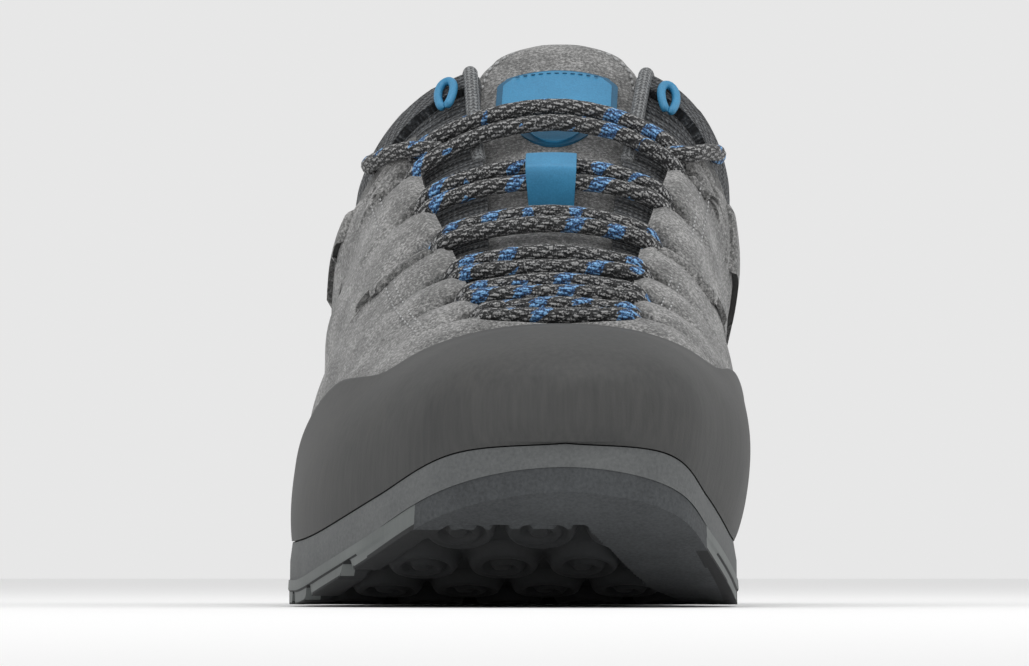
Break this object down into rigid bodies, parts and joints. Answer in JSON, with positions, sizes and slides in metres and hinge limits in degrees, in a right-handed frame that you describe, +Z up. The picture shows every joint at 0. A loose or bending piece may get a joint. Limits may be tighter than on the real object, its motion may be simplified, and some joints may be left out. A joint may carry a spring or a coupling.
{
  "type": "approach shoe",
  "caption": "Low-cut approach shoe for the right foot in grey suede, with a rubber toe rand, heel cup and sling, knit cuff, round lace and a studded rubber sole.",
  "frame": {"origin": "On the floor, at the centre of the flat spot under the heel.", "axes": "+Y points to the heel and -Y to the toe, +X to the inner side of the foot, +Z up."},
  "size_m": [0.1071, 0.2907, 0.1338],
  "materials": {
    "outsole_rubber": "matte moulded rubber",
    "midsole_foam": "fine grained foam",
    "insole_fabric": "brushed lining",
    "suede": "napped suede",
    "knit": "ribbed knit",
    "rand_rubber": "smooth sheet rubber",
    "blue_accent": "blue stitched synthetic",
    "lace_cord": "round braid with blue flecks",
    "webbing": "woven webbing with yellow borders"
  },
  "bodies": {
    "root": {"outsole": "outsole_rubber", "midsole": "midsole_foam", "insole": "insole_fabric", "upper": "suede", "cuff": "knit", "tongue": "suede", "tongue_label": "blue_accent", "lace_keeper": "blue_accent", "toe_rand": "rand_rubber", "heel_cup": "rand_rubber", "heel_sling": "rand_rubber", "heel_strip": "rand_rubber", "heel_accent_lateral": "blue_accent", "heel_accent_medial": "blue_accent", "eyestay_lateral": "suede", "eyestay_medial": "suede", "lace_row_1": "lace_cord", "lace_row_2": "lace_cord", "lace_row_3": "lace_cord", "lace_row_4": "lace_cord", "lace_row_5": "lace_cord", "lace_row_6": "lace_cord", "lace_side_lateral": "lace_cord", "lace_side_medial": "lace_cord", "lace_heel": "lace_cord", "lace_loop_lateral": "blue_accent", "lace_loop_medial": "blue_accent", "pull_loop": "webbing"}
  },
  "joints": []
}
